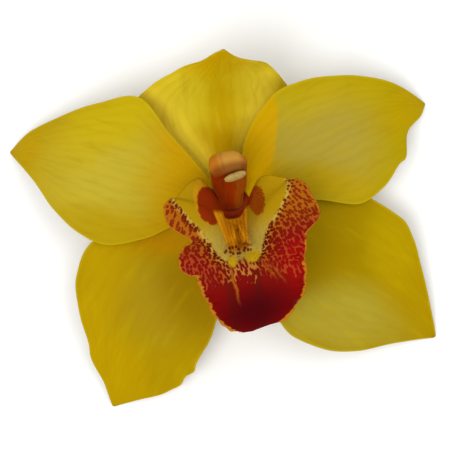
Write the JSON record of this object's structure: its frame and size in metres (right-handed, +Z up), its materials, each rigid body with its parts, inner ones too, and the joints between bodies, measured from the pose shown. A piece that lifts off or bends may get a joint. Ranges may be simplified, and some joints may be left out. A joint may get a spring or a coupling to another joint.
{
  "type": "cymbidium orchid bloom",
  "caption": "Single yellow cymbidium orchid flower with a dark red spotted lip, cut with its own short flower stalk and laid face up.",
  "frame": {"origin": "on the surface the bloom lies on, under the middle of the whole bloom's bounding box", "axes": "+X runs to the right across the flower's face as pictured, +Y runs up the face towards the dorsal sepal, and +Z points up out of the face"},
  "size_m": [0.112, 0.0904, 0.0432],
  "materials": {
    "sepal": "satin, fine lengthwise veins, golden midrib",
    "petal": "satin, fine lengthwise veins, slightly translucent",
    "lip": "velvety, cream and yellow with dark red spots and a maroon front lobe",
    "column": "satin, rust brown with a paler tip",
    "anther_cap": "smooth, waxy cream",
    "flower_stalk": "waxy, pale yellow green"
  },
  "bodies": {
    "root": {"sepal_dorsal": "sepal", "sepal_left": "sepal", "sepal_right": "sepal", "petal_left": "petal", "petal_right": "petal", "lip": "lip", "column": "column", "anther_cap": "anther_cap", "flower_stalk": "flower_stalk"}
  },
  "joints": []
}
